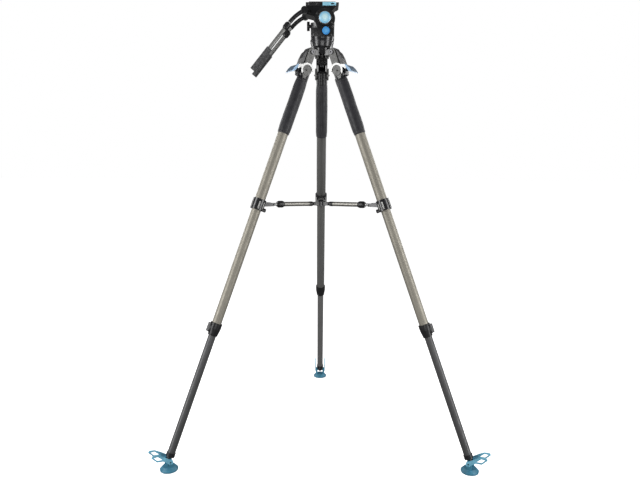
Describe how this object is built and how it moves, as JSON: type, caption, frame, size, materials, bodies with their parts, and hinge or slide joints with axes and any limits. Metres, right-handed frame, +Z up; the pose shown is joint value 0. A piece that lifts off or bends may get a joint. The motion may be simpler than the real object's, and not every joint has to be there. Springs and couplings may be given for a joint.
{
  "type": "tripod with fluid head",
  "caption": "Tall camera tripod with telescoping carbon legs, a mid-level spreader, rubber foot pads and a levelling fluid head with sliding plate and grip bars.",
  "frame": {"origin": "middle of the footprint box on the floor, under the pads", "axes": "+Z up; the rear leg points to +Y; the plate looks along +X and the grip bars hang to -X"},
  "size_m": [1.1326, 0.9808, 1.571],
  "materials": {
    "black_casting": "satin black painted casting",
    "black_plastic": "matt black moulded plastic",
    "blue": "light blue satin finish",
    "carbon": "clear-coated carbon fibre",
    "dark_carbon": "dark carbon fibre",
    "dark_steel": "dark steel",
    "graphite": "graphite anodised aluminium",
    "grey_casting": "satin titanium grey paint",
    "machined": "bright machined aluminium",
    "padding": "padded black leatherette",
    "teal_rubber": "teal rubber"
  },
  "bodies": {
    "crown": {"crown": "black_casting", "hinge_bolts": "dark_steel"},
    "hub": {"spreader_hub": "graphite"},
    "leg_left": {"shoulder_left": "black_casting", "side_plates_left": "grey_casting", "upper_tube_left": "carbon", "sleeve_left": "padding", "upper_lock_left": "black_casting"},
    "middle_leg_left": {"middle_tube_left": "carbon", "lower_lock_left": "black_plastic"},
    "lower_leg_left": {"lower_tube_left": "dark_carbon", "spiked_foot_left": "black_casting"},
    "foot_left": {"foot_pad_left": "teal_rubber"},
    "lever_left": {"leg_lever_left": "machined"},
    "arm_left": {"spreader_arm_left": "grey_casting"},
    "rod_left": {"spreader_rod_left": "machined"},
    "leg_right": {"shoulder_right": "black_casting", "side_plates_right": "grey_casting", "upper_tube_right": "carbon", "sleeve_right": "padding", "upper_lock_right": "black_casting"},
    "middle_leg_right": {"middle_tube_right": "carbon", "lower_lock_right": "black_plastic"},
    "lower_leg_right": {"lower_tube_right": "dark_carbon", "spiked_foot_right": "black_casting"},
    "foot_right": {"foot_pad_right": "teal_rubber"},
    "lever_right": {"leg_lever_right": "machined"},
    "arm_right": {"spreader_arm_right": "grey_casting"},
    "rod_right": {"spreader_rod_right": "machined"},
    "leg_rear": {"shoulder_rear": "black_casting", "side_plates_rear": "grey_casting", "upper_tube_rear": "carbon", "sleeve_rear": "padding", "upper_lock_rear": "black_casting"},
    "middle_leg_rear": {"middle_tube_rear": "carbon", "lower_lock_rear": "black_plastic"},
    "lower_leg_rear": {"lower_tube_rear": "dark_carbon", "spiked_foot_rear": "black_casting"},
    "foot_rear": {"foot_pad_rear": "teal_rubber"},
    "lever_rear": {"leg_lever_rear": "machined"},
    "arm_rear": {"spreader_arm_rear": "grey_casting"},
    "rod_rear": {"spreader_rod_rear": "machined"},
    "ball": {"half_ball": "machined", "head_base": "black_casting"},
    "tie_down": {"tie_down_knob": "black_plastic"},
    "pan_head": {"pan_housing": "black_casting", "tilt_cartridge": "dark_steel"},
    "tilt_head": {"tilt_body": "black_casting", "bar_clamps": "black_plastic", "platform": "black_casting"},
    "tilt_knob": {"tilt_knob": "blue"},
    "balance_knob": {"balance_knob": "blue"},
    "pan_lock": {"pan_lock_knob": "black_plastic"},
    "camera_plate": {"camera_plate": "graphite", "camera_screws": "machined"},
    "plate_lever": {"plate_lever": "blue"},
    "bar_near": {"pan_bar_near": "grey_casting"},
    "grip_near": {"bar_grip_near": "grey_casting"},
    "bar_far": {"pan_bar_far": "grey_casting"},
    "grip_far": {"bar_grip_far": "grey_casting"}
  },
  "joints": [
    {"name": "leg_fold_left", "type": "hinge", "parent": "crown", "child": "leg_left", "pos_m": [-0.04244, -0.1747, 1.394], "axis": [0.5, -0.866, 0], "range_deg": [0, 16]},
    {"name": "middle_slide_left", "type": "slide", "parent": "leg_left", "child": "middle_leg_left", "axis": [-0.3174, -0.1833, -0.9304], "range_m": [-0.37, 0]},
    {"name": "lower_slide_left", "type": "slide", "parent": "middle_leg_left", "child": "lower_leg_left", "axis": [-0.3174, -0.1833, -0.9304], "range_m": [-0.37, 0]},
    {"name": "foot_tilt_left", "type": "hinge", "parent": "lower_leg_left", "child": "foot_left", "pos_m": [-0.50109, -0.4395, 0.03451], "axis": [0.5, -0.866, 0], "range_deg": [-15, 15]},
    {"name": "leg_lever_left", "type": "hinge", "parent": "leg_left", "child": "lever_left", "pos_m": [-0.06177, -0.18586, 1.33186], "axis": [-0.5, 0.866, 0], "range_deg": [0, 20]},
    {"name": "leg_fold_right", "type": "hinge", "parent": "crown", "child": "leg_right", "pos_m": [0.04244, -0.1747, 1.394], "axis": [0.5, 0.866, 0], "range_deg": [0, 16]},
    {"name": "middle_slide_right", "type": "slide", "parent": "leg_right", "child": "middle_leg_right", "axis": [0.3174, -0.1833, -0.9304], "range_m": [-0.37, 0]},
    {"name": "lower_slide_right", "type": "slide", "parent": "middle_leg_right", "child": "lower_leg_right", "axis": [0.3174, -0.1833, -0.9304], "range_m": [-0.37, 0]},
    {"name": "foot_tilt_right", "type": "hinge", "parent": "lower_leg_right", "child": "foot_right", "pos_m": [0.50109, -0.4395, 0.03451], "axis": [0.5, 0.866, 0], "range_deg": [-15, 15]},
    {"name": "leg_lever_right", "type": "hinge", "parent": "leg_right", "child": "lever_right", "pos_m": [0.06177, -0.18586, 1.33186], "axis": [-0.5, -0.866, 0], "range_deg": [0, 20]},
    {"name": "leg_fold_rear", "type": "hinge", "parent": "crown", "child": "leg_rear", "pos_m": [0, -0.1012, 1.394], "axis": [-1, 0, 0], "range_deg": [0, 16]},
    {"name": "middle_slide_rear", "type": "slide", "parent": "leg_rear", "child": "middle_leg_rear", "axis": [0, 0.3665, -0.9304], "range_m": [-0.37, 0]},
    {"name": "lower_slide_rear", "type": "slide", "parent": "middle_leg_rear", "child": "lower_leg_rear", "axis": [0, 0.3665, -0.9304], "range_m": [-0.37, 0]},
    {"name": "foot_tilt_rear", "type": "hinge", "parent": "lower_leg_rear", "child": "foot_rear", "pos_m": [0, 0.42841, 0.03451], "axis": [-1, 0, 0], "range_deg": [-15, 15]},
    {"name": "leg_lever_rear", "type": "hinge", "parent": "leg_rear", "child": "lever_rear", "pos_m": [0, -0.07887, 1.33186], "axis": [1, 0, 0], "range_deg": [0, 20]},
    {"name": "hub_slide", "type": "slide", "parent": "crown", "child": "hub", "axis": [0, 0, 1], "range_m": [0, 0.13658]},
    {"name": "arm_swing_left", "type": "hinge", "parent": "hub", "child": "arm_left", "pos_m": [-0.02425, -0.1642, 0.87026], "axis": [0.5, -0.866, 0], "range_deg": [0, 83.49]},
    {"name": "rod_slide_left", "type": "slide", "parent": "arm_left", "child": "rod_left", "axis": [-0.8659, -0.4999, 0.0177], "range_m": [-0.01401, 0]},
    {"name": "arm_swing_right", "type": "hinge", "parent": "hub", "child": "arm_right", "pos_m": [0.02425, -0.1642, 0.87026], "axis": [0.5, 0.866, 0], "range_deg": [0, 83.49]},
    {"name": "rod_slide_right", "type": "slide", "parent": "arm_right", "child": "rod_right", "axis": [0.8659, -0.4999, 0.0177], "range_m": [-0.01401, 0]},
    {"name": "arm_swing_rear", "type": "hinge", "parent": "hub", "child": "arm_rear", "pos_m": [0, -0.1222, 0.87026], "axis": [-1, 0, 0], "range_deg": [0, 83.49]},
    {"name": "rod_slide_rear", "type": "slide", "parent": "arm_rear", "child": "rod_rear", "axis": [0, 0.9998, 0.0177], "range_m": [-0.01401, 0]},
    {"name": "ball_level", "type": "hinge", "parent": "crown", "child": "ball", "pos_m": [0, -0.1502, 1.432], "axis": [1, 0, 0], "range_deg": [-5, 5]},
    {"name": "tie_down_turn", "type": "hinge", "parent": "ball", "child": "tie_down", "pos_m": [0, -0.1502, 1.37], "axis": [0, 0, 1], "continuous": true},
    {"name": "pan", "type": "hinge", "parent": "ball", "child": "pan_head", "pos_m": [0, -0.1502, 1.441], "axis": [0, 0, 1], "continuous": true},
    {"name": "tilt", "type": "hinge", "parent": "pan_head", "child": "tilt_head", "pos_m": [0.009, -0.1502, 1.503], "axis": [0, 1, 0], "range_deg": [-12, 60]},
    {"name": "tilt_knob_turn", "type": "hinge", "parent": "pan_head", "child": "tilt_knob", "pos_m": [0.009, -0.2092, 1.503], "axis": [0, 1, 0], "continuous": true},
    {"name": "balance_knob_turn", "type": "hinge", "parent": "pan_head", "child": "balance_knob", "pos_m": [0.013, -0.2062, 1.461], "axis": [0, 1, 0], "continuous": true},
    {"name": "pan_lock_turn", "type": "hinge", "parent": "pan_head", "child": "pan_lock", "pos_m": [-0.045, -0.1622, 1.485], "axis": [1, 0, 0], "range_deg": [0, 180]},
    {"name": "camera_plate_slide", "type": "slide", "parent": "tilt_head", "child": "camera_plate", "axis": [1, 0, 0], "range_m": [-0.02, 0.02]},
    {"name": "plate_lever_turn", "type": "hinge", "parent": "tilt_head", "child": "plate_lever", "pos_m": [0.042, -0.1879, 1.5535], "axis": [0, 0, 1], "range_deg": [0, 75]},
    {"name": "bar_swing_near", "type": "hinge", "parent": "tilt_head", "child": "bar_near", "pos_m": [-0.06, -0.1962, 1.531], "axis": [0, 1, 0], "range_deg": [-4, 80]},
    {"name": "grip_slide_near", "type": "slide", "parent": "bar_near", "child": "grip_near", "axis": [-0.6293, 0, -0.7771], "range_m": [0, 0.1]},
    {"name": "bar_swing_far", "type": "hinge", "parent": "tilt_head", "child": "bar_far", "pos_m": [-0.06, -0.1042, 1.531], "axis": [0, 1, 0], "range_deg": [-4, 80]},
    {"name": "grip_slide_far", "type": "slide", "parent": "bar_far", "child": "grip_far", "axis": [-0.6293, 0, -0.7771], "range_m": [-0.009, 0.091]}
  ],
  "couplings": [
    {"joint": "leg_fold_right", "follows": "leg_fold_left", "ratio": 1},
    {"joint": "leg_fold_rear", "follows": "leg_fold_left", "ratio": 1},
    {"joint": "hub_slide", "follows": "leg_fold_left", "m_per_rad": 0.48905},
    {"joint": "arm_swing_left", "follows": "leg_fold_left", "ratio": 5.2178},
    {"joint": "rod_slide_left", "follows": "leg_fold_left", "m_per_rad": -0.050134},
    {"joint": "arm_swing_right", "follows": "leg_fold_left", "ratio": 5.2178},
    {"joint": "rod_slide_right", "follows": "leg_fold_left", "m_per_rad": -0.050134},
    {"joint": "arm_swing_rear", "follows": "leg_fold_left", "ratio": 5.2178},
    {"joint": "rod_slide_rear", "follows": "leg_fold_left", "m_per_rad": -0.050134}
  ]
}
